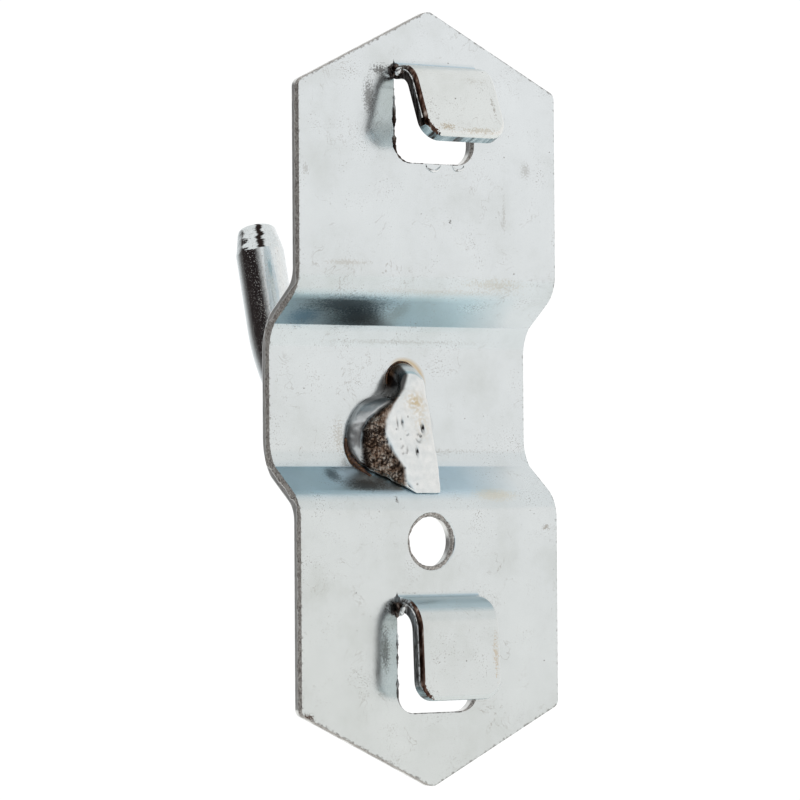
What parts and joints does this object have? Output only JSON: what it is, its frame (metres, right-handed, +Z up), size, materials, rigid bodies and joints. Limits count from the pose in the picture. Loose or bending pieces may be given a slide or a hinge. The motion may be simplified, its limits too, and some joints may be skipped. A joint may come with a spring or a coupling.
{
  "type": "wall panel tool holder",
  "caption": "Stamped steel wall panel tool holder: a pointed plate with lanced hook tabs behind and a bent peg welded through its recess to carry a tool.",
  "frame": {"origin": "middle of the plate's outline, on the plane of its back face, which lies against the wall panel", "axes": "+Z up along the plate, +Y out of the back face towards the wall, the peg reaches towards -Y"},
  "size_m": [0.0218, 0.0279, 0.0538],
  "materials": {
    "plated_sheet": "bright zinc plating over stamped cold-rolled sheet, with light stains and scratches",
    "plated_rod": "bright zinc plating over drawn steel rod",
    "plated_weld": "bright zinc plating over rough weld metal, with pores and brown flux stain at its foot"
  },
  "bodies": {
    "root": {"back_plate": "plated_sheet", "hook_peg": "plated_rod", "weld_bead": "plated_weld"}
  },
  "joints": []
}
